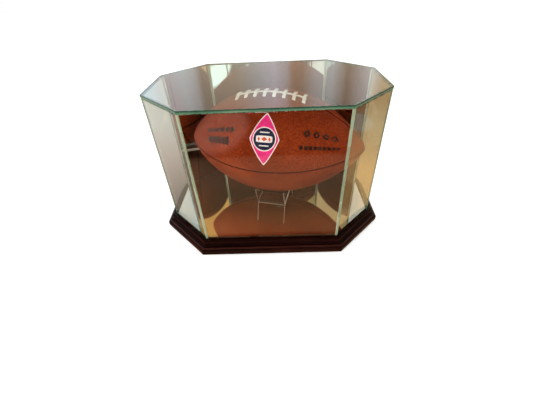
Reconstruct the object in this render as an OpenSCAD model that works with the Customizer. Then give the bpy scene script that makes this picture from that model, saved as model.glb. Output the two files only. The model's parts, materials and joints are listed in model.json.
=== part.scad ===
// Display case for one football: a lift-off glass and mirror cover with eight sides, a moulded
// wooden base with a mirror floor, a bent acrylic cradle, and the ball that lies in it.
// Millimetres, +Z up, origin on the shelf under the middle of the base, +X along the case.

/* [Ball] */
// Length of the ball from tip to tip
ball_len = 282; // [260:0.5:300]
// Diameter of the ball at its middle
ball_d = 159; // [150:0.5:176]
// Fullness of the ball's profile, where 0.5 is an ellipse and 1 is a lens
ball_power = 0.74; // [0.55:0.01:0.9]
// How far the ball is rolled towards the front from its lacing being uppermost, in degrees
ball_roll = 7; // [-20:0.5:20]
// Thickness of a leather panel with its lining
leather_t = 2.8; // [2:0.1:4]
// Angle left open at each seam between two panels, in degrees
seam_angle = 0.5; // [0.2:0.1:1.5]
// Clearance between the panels and the bladder
bladder_gap = 0.3; // [0.1:0.1:1]
// Wall of the rubber bladder
bladder_t = 1; // [0.6:0.1:2]
// Number of lacing bars
lace_count = 8; // [4:1:10]
// Distance between two lacing bars
lace_pitch = 14; // [11:0.5:16]
// Length of a lacing bar across the seam
lace_bar_len = 25; // [18:0.5:34]
// Width of the lace
lace_w = 5; // [3:0.5:7]
// Thickness of the lace
lace_t = 1.3; // [0.8:0.1:2]
// Clearance between the lace and the leather
lace_gap = 0.1; // [0.05:0.05:0.3]
// Diameter of the valve's rubber plug
valve_d = 6; // [4:0.5:9]
// Distance of the valve from the ball's middle along the ball
valve_place = 0; // [-30:1:30]

/* [Cradle] */
// Width of the cradle along the ball
cradle_w = 48.5; // [40:0.5:70]
// Depth of the cradle's foot on the mirror
cradle_d = 67; // [50:0.5:80]
// Height of the arms' upper inner edges
cradle_h = 35; // [30:0.5:50]
// Lean of each arm from upright, in degrees
cradle_lean = 19.5; // [8:0.5:25]
// Thickness of the acrylic sheet
cradle_t = 3; // [2:0.1:4]
// Inside radius of the cradle's bends
bend_r = 3; // [2:0.5:5]
// Clearance between the ball and the arms
seat_gap = 0.3; // [0.1:0.1:1]
// Turn of the cradle and the ball about the upright, in degrees
display_turn = -13.5; // [-20:0.5:20]
// Place of the cradle's middle to the right of the base's middle
display_x = 8; // [-10:0.5:10]
// Place of the cradle's middle behind the base's middle
display_back = 10; // [-10:0.5:12]

/* [Cover] */
// Clearance between the ball's tip and an end pane
end_gap = 18; // [16:0.5:45]
// Clearance between the ball's middle and the front pane
side_gap = 23; // [20:0.5:45]
// Clearance between the top of the ball and the top plate
top_gap = 15; // [5:0.5:30]
// Length of the cut at each corner, along the front and along the end
corner_cut = 62.5; // [50:0.5:76]
// Thickness of the side panes
pane_t = 4; // [3:0.1:6]
// Thickness of the top plate
top_t = 4; // [3:0.1:6]
// Space between two neighbouring panes' inner edges, filled by the sealant
joint_gap = 0.4; // [0.2:0.1:1]
// How far the sealant lies back from the sharp corner
bead_set = 0.4; // [0.2:0.1:1]
// Thickness of the sealant line under the top plate
top_bead_t = 0.5; // [0.3:0.1:1]

/* [Base] */
// Height of the moulding
moulding_h = 21.5; // [20:0.5:30]
// How far the moulding stands out from the panes
moulding_out = 15.5; // [15.5:0.5:24]
// Clearance between the panes and the moulding's lip
lip_gap = 0.75; // [0.5:0.05:1.5]
// Width of the lip's flat top
lip_flat = 3.8; // [3:0.1:6]
// Radius of the bead under the lip
lip_r = 2.5; // [2:0.1:3]
// Width of the step between the bead and the cove
neck_w = 0.8; // [0.4:0.1:1]
// Radius of the cove
cove_r = 4.8; // [4:0.1:5]
// Width of the step under the cove
step_w = 1.2; // [0.8:0.1:1.5]
// Height of the step under the cove
step_h = 1.1; // [0.6:0.1:1.5]
// Radius of the moulding's nose
nose_r = 3.8; // [2:0.1:4]
// Radius of the nose's lower edge
under_r = 1.8; // [0.5:0.1:2]
// Thickness of the floor mirror
mirror_t = 3; // [3:0.1:5]
// Clearance between the panes and the floor mirror
floor_gap = 0.75; // [0.5:0.05:1.5]
// Thickness of the mirror tape
tape_t = 0.5; // [0.3:0.1:1]
// Length of a mirror tape pad
tape_len = 40; // [20:1:60]
// Width of a mirror tape pad
tape_w = 12; // [8:1:20]
// Thickness of the base panel
panel_t = 6; // [4:0.5:7]
// Clearance round the base panel
panel_gap = 0.5; // [0.2:0.1:1.5]
// Width of the moulding's seat under the base panel
seat_w = 10; // [8:0.5:14]
// Diameter of a panel screw
screw_d = 3; // [2.5:0.1:3.5]
// Diameter of a panel screw's head
screw_head_d = 6; // [5:0.1:6.5]
// Length of a panel screw
screw_len = 14; // [11:0.5:15]
// Clearance round a panel screw in the base panel
screw_gap = 0.25; // [0.1:0.05:0.5]
// Height of a mitre nail
nail_h = 9; // [6:0.5:10]
// Width of each wing of a mitre nail
nail_w = 3; // [2:0.5:4]
// Thickness of a mitre nail
nail_t = 0.6; // [0.4:0.1:1]
// Diameter of a felt pad
felt_d = 14; // [10:0.5:18]
// Thickness of a felt pad
felt_t = 1.5; // [1:0.1:3]

/* [Hidden] */

// The eight sides, counted from the front towards the right, all turn by the same angle.
FRONT = 0;
FRONT_RIGHT = 1;
RIGHT = 2;
BACK_RIGHT = 3;
BACK = 4;
BACK_LEFT = 5;
LEFT = 6;
FRONT_LEFT = 7;
SIDES = [FRONT : FRONT_LEFT];
side_count = FRONT_LEFT + 1;
side_turn = 360 / side_count;
mitre = side_turn / 2;

// Quarters of the ball round its length, counted from its underside towards the back.
BOTTOM_BACK = 0;
TOP_BACK = 1;
TOP_FRONT = 2;
BOTTOM_FRONT = 3;

$fn = 96;
profile_steps = 32;
cut_over = 1;

ball_half = ball_len / 2;
ball_r = ball_d / 2;
half_x = ball_half + end_gap + pane_t;
half_y = ball_r + side_gap + pane_t;

// Heights from the shelf up
moulding_z = felt_t;
lip_z = moulding_z + moulding_h;
ledge_z = lip_z - mirror_t - tape_t;
seat_z = ledge_z - panel_t;
cove_top_z = lip_z - 2 * lip_r;
cove_z = cove_top_z - cove_r;
nose_z = cove_z - step_h;

// The arm's inner upper edge, from the cradle's middle, and the ball on it
bend_out_r = bend_r + cradle_t;
bend_y = cradle_d / 2 - bend_out_r * tan((90 - cradle_lean) / 2);
arm_len = (cradle_h - bend_out_r + bend_r * sin(cradle_lean)) / cos(cradle_lean);
arm_y = bend_y + bend_r * cos(cradle_lean) + arm_len * sin(cradle_lean);
ball_z = lip_z + cradle_h + sqrt(pow(ball_r + seat_gap, 2) - pow(arm_y, 2));

top_z = ball_z + ball_r + top_gap;
pane_h = top_z - top_bead_t - ledge_z;

// The moulding's section, measured outwards from the panes' outer faces
ledge_in = pane_t + floor_gap;
panel_in = ledge_in + panel_gap;
seat_in = ledge_in + seat_w;
bead_out = lip_gap + lip_flat;
neck_out = bead_out + neck_w;
cove_out = neck_out + cove_r;
step_out = cove_out + step_w;

// Place of a side's middle on the panes' outer faces, and the side's length there
function side_mid(i) =
    [half_x * sign(round(10 * sin(side_turn * i))), -half_y * sign(round(10 * cos(side_turn * i)))]
    + (i % 2 == 1 ? corner_cut / 2 * [-sign(sin(side_turn * i)), sign(cos(side_turn * i))] : [0, 0]);
function side_len(i) =
    i % 2 == 1 ? corner_cut * sqrt(2) : 2 * ((i % 4 == 0 ? half_x : half_y) - corner_cut);

// Outline of a mitred length in side i's own frame, between two distances out from the panes
function mitred(i, near, far) = [
    for (end = [-1, 1], out = end < 0 ? [far, near] : [near, far])
        [end * (side_len(i) / 2 + out * tan(mitre)), -out]];

// Moves what is drawn with +X along side i and +Y into the case
module at_side(i) {
    translate([side_mid(i)[0], side_mid(i)[1], 0]) rotate([0, 0, side_turn * i]) children();
}

// Moves what is drawn to the corner after side i, out by a distance square to the panes
module at_corner(i, out = 0) {
    at_side(i)
        translate([side_len(i) / 2 + out * tan(mitre), -out, 0])
            rotate([0, 0, mitre]) children();
}

// The case's outline, moved outwards by a distance
module outline(out) {
    x = half_x + out;
    y = half_y + out;
    cut = corner_cut + out * (2 - sqrt(2));
    polygon([[x - cut, -y], [x, cut - y], [x, y - cut], [x - cut, y],
             [cut - x, y], [-x, y - cut], [-x, cut - y], [cut - x, -y]]);
}

module pane(i) {
    width = side_len(i) - 2 * pane_t * tan(mitre) - joint_gap;
    at_side(i) translate([-width / 2, 0, ledge_z]) cube([width, pane_t, pane_h]);
}

// The moulding's section: +X outwards from the panes, +Y up from the shelf
module moulding_section() {
    // the seat under the base panel and the ledge under the panes
    translate([-seat_in, moulding_z]) square([seat_in, seat_z - moulding_z]);
    translate([-ledge_in, moulding_z]) square([ledge_in, ledge_z - moulding_z]);
    // the lip and its bead
    translate([0, moulding_z]) square([bead_out, ledge_z - moulding_z]);
    translate([lip_gap, ledge_z]) square([lip_flat, lip_z - ledge_z]);
    translate([bead_out, lip_z - lip_r]) circle(lip_r);
    // the neck and the cove
    translate([0, moulding_z]) square([neck_out, cove_top_z - moulding_z]);
    difference() {
        translate([0, moulding_z]) square([cove_out, cove_top_z - moulding_z]);
        translate([cove_out, cove_top_z]) circle(cove_r);
    }
    // the step and the nose
    translate([0, moulding_z]) square([step_out, cove_z - moulding_z]);
    translate([0, moulding_z]) square([moulding_out - nose_r, nose_z - moulding_z]);
    translate([0, moulding_z]) square([moulding_out - under_r, nose_z - nose_r - moulding_z]);
    translate([0, moulding_z + under_r])
        square([moulding_out, nose_z - nose_r - moulding_z - under_r]);
    translate([moulding_out - nose_r, nose_z - nose_r]) circle(nose_r);
    translate([moulding_out - under_r, moulding_z + under_r]) circle(under_r);
}

// One mitred length, with the slots of its mitre nails and the pilot hole of its screw
module moulding(i) {
    color([0.2, 0.04, 0.03])
    difference() {
        at_side(i) intersection() {
            stock = side_len(i) + 2 * moulding_out;
            translate([stock / 2, 0, 0])
                rotate([90, 0, -90]) linear_extrude(stock) moulding_section();
            linear_extrude(lip_z + cut_over)
                polygon(mitred(i, -seat_in - cut_over, moulding_out + cut_over));
        }
        corner_nails(i);
        corner_nails((i + side_count - 1) % side_count);
        panel_screw(i, 0);
    }
}

// Two V-nails across the mitre after side i, driven in from below
module corner_nails(i) {
    slant = nail_w * sin(45);
    inner = nail_t * sqrt(2);
    for (out = [moulding_out / 2, -seat_in / 2])
        at_corner(i, out) translate([0, 0, moulding_z]) linear_extrude(nail_h)
            polygon([[0, 0], [slant, slant], [slant - inner, slant], [0, inner],
                     [inner - slant, slant], [-slant, slant]]);
}

module mitre_nails() {
    color("silver") for (i = SIDES) corner_nails(i);
}

module base_panel() {
    color([0.5, 0.37, 0.25]) difference() {
        translate([0, 0, seat_z]) linear_extrude(panel_t) outline(-panel_in);
        for (i = SIDES) panel_screw(i, screw_gap);
    }
}

// A countersunk screw down through the base panel into the seat of side i, grown by a clearance
module panel_screw(i, gap) {
    head_h = (screw_head_d - screw_d) / 2;
    at_side(i) translate([0, (panel_in + seat_in) / 2, 0]) {
        translate([0, 0, ledge_z - screw_len]) cylinder(d = screw_d + 2 * gap, h = screw_len);
        translate([0, 0, ledge_z - head_h])
            cylinder(d1 = screw_d + 2 * gap, d2 = screw_head_d + 2 * gap, h = head_h);
    }
}

module panel_screws() {
    recess_w = screw_head_d / 6;
    recess_h = screw_head_d / 5;
    color("silver") difference() {
        for (i = SIDES) panel_screw(i, 0);
        for (i = SIDES, turn = [0, 90])
            at_side(i) translate([0, (panel_in + seat_in) / 2, ledge_z - recess_h])
                rotate([0, 0, turn]) translate([-screw_d / 2, -recess_w / 2, 0])
                    cube([screw_d, recess_w, recess_h + cut_over]);
    }
}

module mirror_tape() {
    color("white")
    for (x = [-1, 0, 1], y = [-1, 1])
        translate([x * half_x / 2 - tape_len / 2, y * half_y / 2 - tape_w / 2, ledge_z])
            cube([tape_len, tape_w, tape_t]);
}

module floor_mirror() {
    color([0.75, 0.78, 0.78])
    translate([0, 0, ledge_z + tape_t]) linear_extrude(mirror_t) outline(-ledge_in);
}

module felt_pads() {
    color([0.1, 0.1, 0.1])
    for (i = SIDES) at_corner(i, (moulding_out - seat_in) / 2) cylinder(d = felt_d, h = felt_t);
}

module clear_pane(i) {
    color([0.75, 0.9, 0.85, 0.35]) pane(i);
}

module mirror_pane(i) {
    color([0.75, 0.78, 0.78]) pane(i);
}

module glass_top() {
    color([0.55, 0.85, 0.75, 0.4]) translate([0, 0, top_z]) linear_extrude(top_t) outline(0);
}

// Sealant in the V joint after each side, from the panes' inner edges out to their outer faces
module corner_beads() {
    reach = pane_t * tan(mitre) + joint_gap / 2;
    inner = [joint_gap / 2 * cos(mitre), reach * sin(mitre) + pane_t * cos(mitre)];
    outer = [reach * cos(mitre), reach * sin(mitre)];
    color([0.85, 0.95, 0.88, 0.5])
    for (i = SIDES) at_corner(i) translate([0, 0, ledge_z]) linear_extrude(pane_h)
        polygon([[0, bead_set], outer, inner, [-inner[0], inner[1]], [-outer[0], outer[1]]]);
}

module top_bead() {
    color([0.85, 0.95, 0.88, 0.5])
    translate([0, 0, top_z - top_bead_t]) linear_extrude(top_bead_t) difference() {
        outline(-bead_set);
        outline(-pane_t);
    }
}

// Moves what is drawn to the cradle's middle on the mirror
module at_display() {
    translate([display_x, display_back, lip_z]) rotate([0, 0, display_turn]) children();
}

// Points of an arc from one angle to another, both counted
function arc(centre, r, from, to, steps = 8) =
    [for (k = [0 : steps]) let (a = from + (to - from) * k / steps) centre + r * [cos(a), sin(a)]];

// The right half of the cradle's section: the foot from its middle, the bend and the arm
function half_cradle() =
    let (centre = [bend_y, bend_out_r], up = arm_len * [sin(cradle_lean), cos(cradle_lean)])
    concat(arc(centre, bend_out_r, -90, -cradle_lean),
           [centre + bend_out_r * [cos(cradle_lean), -sin(cradle_lean)] + up,
            centre + bend_r * [cos(cradle_lean), -sin(cradle_lean)] + up],
           arc(centre, bend_r, -cradle_lean, -90));

module ball_stand() {
    right = half_cradle();
    left = [for (p = reversed(right)) [-p[0], p[1]]];
    color([0.9, 0.93, 0.95, 0.4])
    at_display() translate([cradle_w / 2, 0, 0]) rotate([90, 0, -90]) linear_extrude(cradle_w)
        polygon(concat(right, left));
}

// Moves what is drawn to the ball's middle, with +X along the ball and +Z to its lacing
module at_ball() {
    at_display() translate([0, 0, ball_z - lip_z]) rotate([ball_roll, 0, 0]) children();
}

function ball_radius(x, half, r) = r * pow(max(0, 1 - pow(x / half, 2)), ball_power);

// Points along the ball's profile, as [radius, place along the ball], drawn in by a depth.
// They are closer together towards the tips, where the profile turns fastest.
function profile(depth) = [
    for (k = [0 : profile_steps])
        let (along = (ball_half - depth) * sin(180 * k / profile_steps - 90))
        [ball_radius(along, ball_half - depth, ball_r - depth), along]];

function reversed(points) = [for (k = [len(points) - 1 : -1 : 0]) points[k]];

module skin_section(outer, inner) {
    polygon(concat(profile(outer), reversed(profile(inner))));
}

// The valve's plug, grown by a clearance, square to the middle of the lower back panel
module valve_plug(gap) {
    depth = leather_t + bladder_gap + 3 * bladder_t;
    under = ball_radius(valve_place, ball_half, ball_r) - depth;
    rotate([-135, 0, 0]) translate([valve_place, 0, under])
        cylinder(d = valve_d + 2 * gap, h = depth);
}

module ball_panel(quarter) {
    color([0.5, 0.2, 0.1]) at_ball() difference() {
        rotate([0, 90, 0]) rotate([0, 0, 90 * quarter + seam_angle / 2])
            rotate_extrude(angle = 90 - seam_angle) skin_section(0, leather_t);
        if (quarter == BOTTOM_BACK) valve_plug(bladder_gap);
    }
}

module ball_bladder() {
    color([0.1, 0.1, 0.1]) at_ball() difference() {
        rotate([0, 90, 0]) rotate_extrude()
            skin_section(leather_t + bladder_gap, leather_t + bladder_gap + bladder_t);
        valve_plug(0);
    }
}

module ball_valve() {
    color([0.15, 0.15, 0.15]) at_ball() valve_plug(0);
}

// One lace: a strip along the seam and the bars over it, all following the ball's surface
module ball_laces() {
    strip_len = (lace_count - 1) * lace_pitch + lace_w;
    strip_steps = 16;
    strip = [for (k = [0 : strip_steps])
        let (along = strip_len * (k / strip_steps - 0.5))
        [along, ball_radius(along, ball_half, ball_r) + lace_gap]];
    color([0.9, 0.87, 0.8]) at_ball() {
        rotate([90, 0, 0]) translate([0, 0, -lace_w / 2]) linear_extrude(lace_w)
            polygon(concat(strip, reversed([for (p = strip) p + [0, 2 * lace_t]])));
        for (k = [0 : lace_count - 1]) {
            along = (k - (lace_count - 1) / 2) * lace_pitch;
            widest = max(0, abs(along) - lace_w / 2);
            under = ball_radius(widest, ball_half, ball_r) + lace_gap;
            span = 180 / PI * lace_bar_len / under;
            translate([along - lace_w / 2, 0, 0]) rotate([0, 90, 0])
                rotate([0, 0, 180 - span / 2]) rotate_extrude(angle = span)
                    translate([under, 0]) square([3 * lace_t, lace_w]);
        }
    }
}

moulding(FRONT);  // moulding_front
moulding(FRONT_RIGHT);  // moulding_front_right
moulding(RIGHT);  // moulding_right
moulding(BACK_RIGHT);  // moulding_back_right
moulding(BACK);  // moulding_back
moulding(BACK_LEFT);  // moulding_back_left
moulding(LEFT);  // moulding_left
moulding(FRONT_LEFT);  // moulding_front_left
mitre_nails();
base_panel();
panel_screws();
mirror_tape();
floor_mirror();
felt_pads();
clear_pane(FRONT);  // glass_front
clear_pane(FRONT_RIGHT);  // glass_front_right
clear_pane(RIGHT);  // glass_right
mirror_pane(BACK_RIGHT);  // mirror_back_right
mirror_pane(BACK);  // mirror_back
mirror_pane(BACK_LEFT);  // mirror_back_left
clear_pane(LEFT);  // glass_left
clear_pane(FRONT_LEFT);  // glass_front_left
glass_top();
corner_beads();
top_bead();
ball_stand();
ball_panel(TOP_FRONT);  // ball_panel_top_front
ball_panel(BOTTOM_FRONT);  // ball_panel_bottom_front
ball_panel(BOTTOM_BACK);  // ball_panel_bottom_back
ball_panel(TOP_BACK);  // ball_panel_top_back
ball_laces();
ball_bladder();
ball_valve();
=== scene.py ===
import json
import math

import bmesh
import bpy
from mathutils import Matrix, Vector


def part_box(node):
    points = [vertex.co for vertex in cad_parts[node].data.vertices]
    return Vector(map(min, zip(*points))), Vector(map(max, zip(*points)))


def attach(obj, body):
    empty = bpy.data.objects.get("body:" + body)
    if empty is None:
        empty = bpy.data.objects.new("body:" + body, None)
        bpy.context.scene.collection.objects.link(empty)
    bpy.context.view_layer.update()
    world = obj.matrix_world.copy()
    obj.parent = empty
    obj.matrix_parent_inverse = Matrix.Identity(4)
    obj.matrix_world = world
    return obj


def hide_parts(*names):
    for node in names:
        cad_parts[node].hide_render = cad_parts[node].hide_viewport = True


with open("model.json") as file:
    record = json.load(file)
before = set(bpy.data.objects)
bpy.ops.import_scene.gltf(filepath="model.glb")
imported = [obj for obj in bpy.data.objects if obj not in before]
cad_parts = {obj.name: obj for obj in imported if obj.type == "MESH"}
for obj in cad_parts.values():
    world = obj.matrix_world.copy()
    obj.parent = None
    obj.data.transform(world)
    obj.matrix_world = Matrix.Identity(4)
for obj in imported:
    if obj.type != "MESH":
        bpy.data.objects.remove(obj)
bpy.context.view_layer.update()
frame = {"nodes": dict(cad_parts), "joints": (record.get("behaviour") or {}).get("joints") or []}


# ---------------------------------------------------------------- Moulding
# Eight lengths of hardwood moulding, all run to one profile: a lip that the cover drops inside, a bead,
# a cove, a step and a rounded nose. They are stained dark cherry, lacquered to a hard gloss, mitred,
# glued, and nailed from below, so that the mitres show as hairlines.

MM = 0.001
SIDES = ["front", "front_right", "right", "back_right", "back", "back_left", "left", "front_left"]
side_turn = math.radians(45)
mitre = side_turn / 2

nodes = frame["nodes"]
half_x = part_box("glass_right")[1].x
half_y = -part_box("glass_front")[0].y
front_corners = [v.co.x for v in nodes["glass_top"].data.vertices if v.co.y < MM - half_y]
corner_cut = half_x - max(front_corners)
pane_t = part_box("glass_front")[1].y + half_y

foot_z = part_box("moulding_front")[0].z
lip_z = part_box("moulding_front")[1].z
seat_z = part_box("base_panel")[0].z
ledge_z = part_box("glass_front")[0].z
moulding_out = -half_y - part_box("moulding_front")[0].y
seat_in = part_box("moulding_front")[1].y + half_y
ledge_in = half_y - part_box("floor_mirror")[1].y

lip_gap = 0.75 * MM
lip_flat = 3.8 * MM
bead_r = 2.5 * MM
neck_w = 0.8 * MM
cove_r = 4.8 * MM
step_w = 1.2 * MM
step_h = 1.1 * MM
nose_r = 3.8 * MM
under_r = 1.8 * MM
arris_r = 0.3 * MM
hairline = 0.15 * MM

neck_z = lip_z - 2 * bead_r
cove_z = neck_z - cove_r
nose_z = cove_z - step_h


def side_length(side):
    """Length of a side of the case at the panes' outer faces."""
    if side % 2:
        return corner_cut * math.sqrt(2)
    return 2 * ((half_y if side % 4 else half_x) - corner_cut)


def side_frame(side):
    """The middle of a side at the panes' outer faces, with +X along the side and +Y into the case."""
    turn = side_turn * side
    back = corner_cut / 2 if side % 2 else 0
    middle = Vector(((half_x - back) * round(math.sin(turn)), (back - half_y) * round(math.cos(turn)), 0))
    return Matrix.Translation(middle) @ Matrix.Rotation(turn, 4, "Z")


def arc(centre, radius, start, end, steps=5):
    """Points of an arc between two angles in degrees, both counted."""
    angles = [math.radians(start + (end - start) * step / steps) for step in range(steps + 1)]
    return [Vector(centre) + radius * Vector((math.cos(a), math.sin(a))) for a in angles]


def inset(outline, depth):
    """An outline that runs anticlockwise, with every edge moved inwards by a depth."""
    moved = []
    for before, point, after in zip(outline[-1:] + outline[:-1], outline, outline[1:] + outline[:1]):
        first, second = (point - before).normalized(), (after - point).normalized()
        inwards = Vector((-first.y - second.y, first.x + second.x)) / (1 + first.dot(second))
        moved.append(point + depth * inwards)
    return moved


def moulding_profile():
    """The section, as points of distance out from the panes and height, anticlockwise."""
    bead_out = lip_gap + lip_flat
    neck_out = bead_out + neck_w
    cove_out = neck_out + cove_r
    step_out = cove_out + step_w
    down = [Vector((-seat_in, foot_z)), Vector((-seat_in, seat_z)), Vector((-ledge_in, seat_z)),
            Vector((-ledge_in, ledge_z)), Vector((lip_gap, ledge_z))]
    down += arc((lip_gap + arris_r, lip_z - arris_r), arris_r, 180, 90)
    down += arc((bead_out, lip_z - bead_r), bead_r, 90, -90, steps=14)
    down += arc((neck_out - arris_r, neck_z - arris_r), arris_r, 90, 0)
    down += arc((cove_out, neck_z), cove_r, 184, 270, steps=14)
    down += arc((step_out - arris_r, cove_z - arris_r), arris_r, 90, 0)
    down += [Vector((step_out, nose_z))]
    down += arc((moulding_out - nose_r, nose_z - nose_r), nose_r, 90, 0, steps=10)
    down += arc((moulding_out - under_r, foot_z + under_r), under_r, 0, -90, steps=6)
    return down[::-1]


def loft(build, rings, paint=lambda band, place: 0, caps=(0, 0)):
    """Adds a closed form through rings of points, with a flat face over its first ring and its last.
    paint gives the number of the finish on the face at a band and a place, and caps on the two ends."""
    rows = [[build.verts.new(point) for point in ring] for ring in rings]
    for band, (near, far) in enumerate(zip(rows, rows[1:])):
        for place in range(len(near)):
            after = (place + 1) % len(near)
            face = build.faces.new((near[place], near[after], far[after], far[place]))
            face.material_index = paint(band, place)
    for row, finish in zip((rows[0], rows[-1]), caps):
        build.faces.new(row).material_index = finish


def piece(name, build, finishes, body, replaced=(), place=Matrix.Identity(4), crease=30):
    """Turns what was built into a piece that rides on a body and stands for CAD nodes."""
    bmesh.ops.recalc_face_normals(build, faces=build.faces)
    mesh = bpy.data.meshes.new(name)
    build.to_mesh(mesh)
    build.free()
    mesh.shade_smooth()
    mesh.set_sharp_from_angle(angle=math.radians(crease))
    for finish in finishes:
        mesh.materials.append(finish)
    made = bpy.data.objects.new(name, mesh)
    bpy.context.scene.collection.objects.link(made)
    made.matrix_world = place
    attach(made, body)
    if replaced:
        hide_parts(*replaced)
    return made


class Nodes:
    """A node tree in the making. Each call adds nodes and gives the output that the next one needs."""

    def __init__(self, tree):
        self.tree = tree

    def feed(self, socket, value):
        if isinstance(value, bpy.types.NodeSocket):
            self.tree.links.new(value, socket)
        else:
            socket.default_value = value

    def add(self, kind, inputs, output=0, **settings):
        node = self.tree.nodes.new("ShaderNode" + kind)
        for name, value in settings.items():
            setattr(node, name, value)
        for socket, value in inputs.items():
            self.feed(node.inputs[socket], value)
        return node.outputs[output]

    def place(self, stretch=(1, 1, 1)):
        """The piece's own coordinates in metres, each multiplied by its stretch."""
        own = self.add("TexCoord", {}, "Object")
        return self.add("Mapping", {"Vector": own, "Scale": stretch})

    def noise(self, size, detail=3, stretch=(1, 1, 1)):
        """Cloudy noise from 0 to 1, with features of a size."""
        return self.add("TexNoise", {"Vector": self.place(stretch), "Scale": 1 / size, "Detail": detail})

    def cells(self, size, stretch=(1, 1, 1)):
        """Distance from the middle of the nearest cell, for cells of a size."""
        inputs = {"Vector": self.place(stretch), "Scale": 1 / size, "Smoothness": 0.4}
        return self.add("TexVoronoi", inputs, feature="SMOOTH_F1")

    def spread(self, value, start, stop, low, high):
        """A value between start and stop, moved to between low and high."""
        inputs = {"Value": value, 1: start, 2: stop, 3: low, 4: high}
        return self.add("MapRange", inputs, interpolation_type="SMOOTHSTEP")

    def tones(self, value, *stops):
        """Colours along a value, as (value, colour) stops."""
        colour = self.add("ValToRGB", {"Fac": value})
        elements = colour.node.color_ramp.elements
        while len(elements) < len(stops):
            elements.new(1)
        for element, (position, tone) in zip(elements, stops):
            element.position = position
            element.color = tone
        return colour

    def calc(self, operation, *values):
        """The result of one operation on values, such as MULTIPLY or MINIMUM."""
        return self.add("Math", dict(enumerate(values)), operation=operation)

    def mix(self, share, first, second, blend="MIX"):
        """The second colour laid over the first by a share from 0 to 1."""
        return self.add("MixRGB", {"Fac": share, "Color1": first, "Color2": second}, blend_type=blend)

    def bump(self, *layers):
        """A surface normal from layers of (height from 0 to 1, depth in metres)."""
        normal = None
        for height, depth in layers:
            inputs = {"Height": height, "Distance": depth}
            if normal:
                inputs["Normal"] = normal
            normal = self.add("Bump", inputs)
        return normal


class Finish(Nodes):
    """A material in the making. What is even over the surface is given first, and vary() adds the rest."""

    def __init__(self, name, even):
        self.material = bpy.data.materials.new(name)
        self.material.use_nodes = True
        super().__init__(self.material.node_tree)
        self.shader = self.tree.nodes["Principled BSDF"]
        self.vary(even)

    def vary(self, inputs):
        for socket, value in inputs.items():
            self.feed(self.shader.inputs[socket], value)
        return self.material


def srgb(red, green, blue):
    """A screen colour from 0 to 255, as the linear colour that shaders take."""
    scaled = [channel / 255 for channel in (red, green, blue)]
    return (*[c / 12.92 if c < 0.04045 else ((c + 0.055) / 1.055) ** 2.4 for c in scaled], 1)


def cherry_lacquer():
    """Dark cherry stain with the grain along each length, under a clear coat. Down the step's face and
    over the edge of the nose a lighter tone and a thicker coat are painted on as a painted highlight line."""
    finish = Finish("cherry_lacquer", {"Coat Roughness": 0.05, "Specular IOR Level": 0.05})
    height = finish.add("SeparateXYZ", {0: finish.place()}, 2)
    over_nose = finish.spread(height, nose_z - 0.5 * MM, nose_z - 0.2 * MM, 0, 1)
    under_cove = finish.spread(height, cove_z - 0.3 * MM, cove_z - 0.1 * MM, 1, 0)
    # The band down the step and over the nose's edge that carries the painted highlight.
    painted_highlight_band = finish.calc("MINIMUM", over_nose, under_cove)
    grain = finish.noise(1.6 * MM, 5, (0.05, 1, 1))
    pores = finish.noise(0.5 * MM, 2, (0.03, 1, 1))
    stain = finish.noise(45 * MM, 2, (0.4, 1, 1))
    streaks = finish.calc("MULTIPLY", grain, stain)
    dark = finish.tones(streaks, (0.12, srgb(10, 1, 1)), (0.3, srgb(22, 4, 3)), (0.5, srgb(40, 9, 6)))
    # The lighter tone of the painted highlight along the step.
    wear_and_painted_highlight = finish.tones(grain, (0.3, srgb(36, 14, 10)), (0.7, srgb(60, 29, 22)))
    return finish.vary({
        "Base Color": finish.mix(painted_highlight_band, dark, wear_and_painted_highlight),
        "Coat Weight": finish.spread(painted_highlight_band, 0, 1, 0.05, 0.4),
        "Roughness": finish.spread(grain, 0.3, 0.7, 0.28, 0.42),
        "Normal": finish.bump((pores, 0.03 * MM), (grain, 0.05 * MM))})


def rail_ring(side, end, depth, back):
    """The section at one end of a length, drawn in by a depth and set back from the mitre."""
    half = side_length(side) / 2 - back
    section = inset(moulding_profile(), depth)
    return [Vector((end * (half + out * math.tan(mitre)), -out, height)) for out, height in section]


lacquer = cherry_lacquer()
for side, name in enumerate(SIDES):
    build = bmesh.new()
    loft(build, [rail_ring(side, -1, hairline, 0), rail_ring(side, -1, 0, hairline),
                 rail_ring(side, 1, 0, hairline), rail_ring(side, 1, hairline, 0)])
    piece(f"rail_{name}", build, [lacquer], "base", [f"moulding_{name}"], side_frame(side))


# ---------------------------------------------------------------- Fixings of the base
# Zinc-plated V-nails draw the mitres together from below, and countersunk screws hold the base panel
# up in the moulding's rebate. Both are bright steel, dulled a little in the plating bath.

def zinc():
    finish = Finish("zinc_plate", {"Metallic": 1})
    bath = finish.noise(4 * MM, 4)
    return finish.vary({
        "Base Color": finish.tones(bath, (0.3, srgb(150, 152, 155)), (0.7, srgb(196, 198, 200))),
        "Roughness": finish.spread(bath, 0.3, 0.7, 0.24, 0.42),
        "Normal": finish.bump((finish.noise(0.6 * MM), 0.02 * MM))})


def refinish(node, material):
    """Gives a CAD node that stays in view its own material."""
    mesh = nodes[node].data
    mesh.materials.clear()
    mesh.materials.append(material)


zinc_plate = zinc()
refinish("mitre_nails", zinc_plate)
refinish("panel_screws", zinc_plate)


# ---------------------------------------------------------------- Base panel
# A sheet of brown fibreboard, sawn to the case's outline. It lies on the moulding's seat and carries
# the floor mirror. Its face is smooth and its colour is flecked by the fibres.

def fibreboard():
    finish = Finish("fibreboard", {"Specular IOR Level": 0.3})
    fibres = finish.noise(1.2 * MM, 6)
    cloud = finish.noise(60 * MM, 2)
    shade = finish.calc("MULTIPLY", fibres, cloud)
    return finish.vary({
        "Base Color": finish.tones(shade, (0.12, srgb(96, 68, 44)), (0.4, srgb(146, 112, 78))),
        "Roughness": finish.spread(fibres, 0.3, 0.7, 0.62, 0.8),
        "Normal": finish.bump((fibres, 0.08 * MM))})


refinish("base_panel", fibreboard())


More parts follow.
